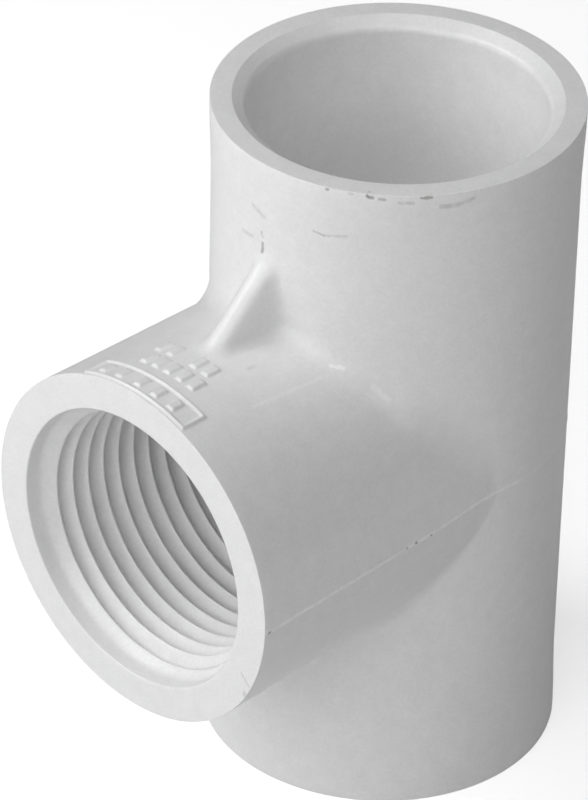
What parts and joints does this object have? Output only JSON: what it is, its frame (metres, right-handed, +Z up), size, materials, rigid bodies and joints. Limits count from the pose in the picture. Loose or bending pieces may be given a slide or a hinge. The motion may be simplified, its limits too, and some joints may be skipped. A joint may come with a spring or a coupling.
{
  "type": "pipe tee fitting",
  "caption": "White PVC pipe tee: straight run with a plain socket at each end, and a branch at right angles with a tapered internal pipe thread and a small gusset.",
  "frame": {"origin": "where the axis of the run crosses the axis of the branch, in the middle of the water passage", "axes": "+Z up the run towards the upper socket, -Y out of the threaded branch, X across the plane of symmetry"},
  "size_m": [0.0332, 0.0489, 0.0652],
  "materials": {
    "white_pvc": "satin white rigid PVC, as moulded"
  },
  "bodies": {
    "root": {"tee_body": "white_pvc"}
  },
  "joints": []
}
